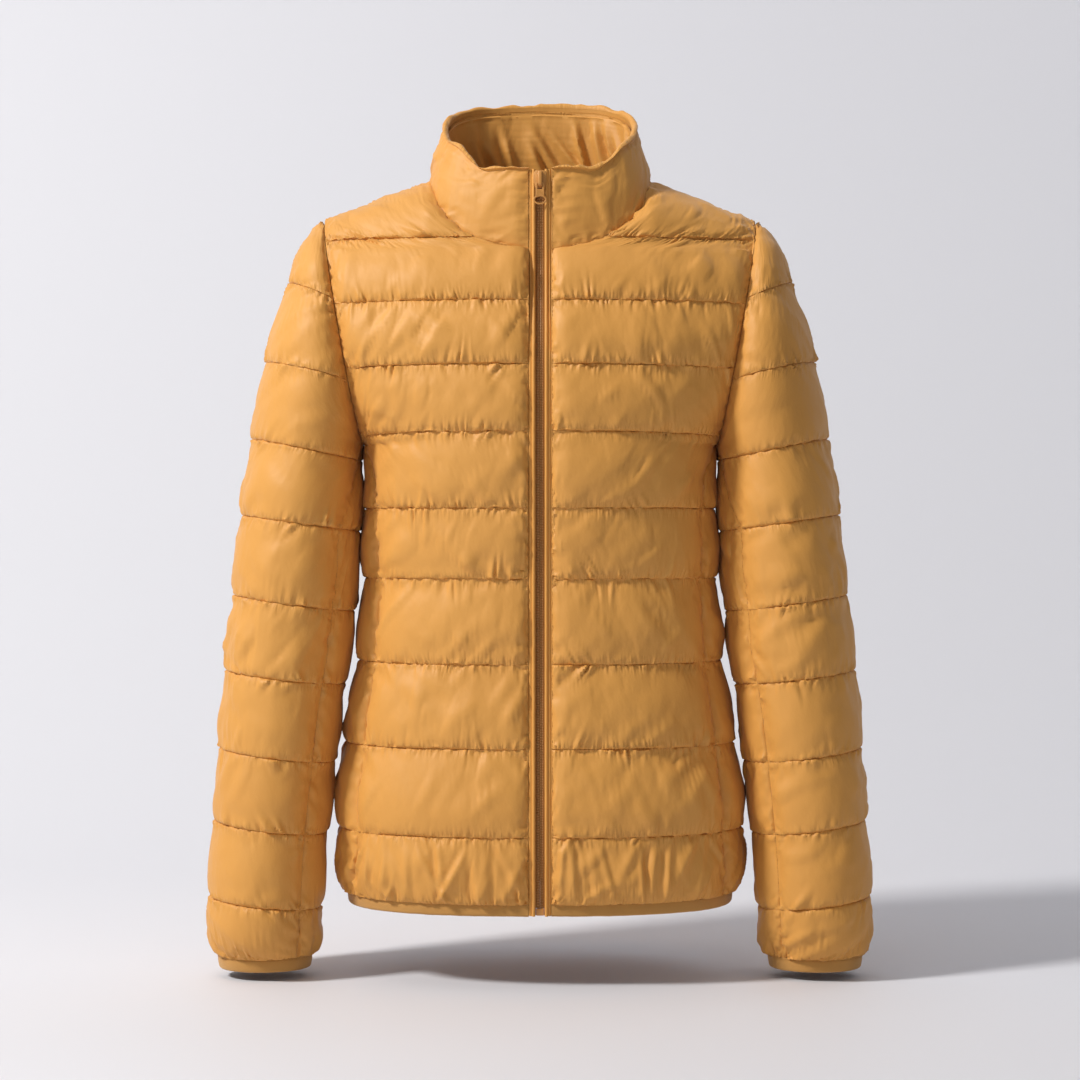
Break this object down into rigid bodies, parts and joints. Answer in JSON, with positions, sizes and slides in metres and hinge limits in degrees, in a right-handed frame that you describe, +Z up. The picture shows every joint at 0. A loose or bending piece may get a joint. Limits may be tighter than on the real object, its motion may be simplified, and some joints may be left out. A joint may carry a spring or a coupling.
{
  "type": "puffer jacket",
  "caption": "Light quilted down jacket with a stand collar, full-length zip, long sleeves and bound hem and cuffs, filled out as worn and open inside.",
  "frame": {"origin": "middle of the neck's base, level with the points where the shoulder seams meet the collar", "axes": "+Z up the body, -Y the way the jacket faces, +X to the wearer's left"},
  "size_m": [0.5672, 0.2345, 0.7498],
  "materials": {
    "quilted_nylon": "fine plain-weave nylon, down filled, soft satin sheen",
    "stretch_binding": "matt stretch knit binding",
    "zip_tape": "woven polyester tape with nylon coil teeth",
    "zip_metal": "zinc die casting, enamelled in the cloth's colour"
  },
  "bodies": {
    "jacket": {"front_right": "quilted_nylon", "front_left": "quilted_nylon", "back": "quilted_nylon", "sleeve_right": "quilted_nylon", "sleeve_left": "quilted_nylon", "collar": "quilted_nylon", "collar_facing": "quilted_nylon", "hem_binding": "stretch_binding", "cuff_binding_right": "stretch_binding", "cuff_binding_left": "stretch_binding", "zip_band_right": "quilted_nylon", "zip_band_left": "quilted_nylon", "zip_tape_right": "zip_tape", "zip_tape_left": "zip_tape", "zip_slider": "zip_metal", "zip_box": "zip_metal"},
    "pull_tab": {"zip_pull": "zip_metal"}
  },
  "joints": [
    {"name": "pull_tab_swing", "type": "hinge", "parent": "jacket", "child": "pull_tab", "pos_m": [0, -0.08429, -0.01061], "axis": [-1, 0, 0], "range_deg": [0, 135]}
  ]
}
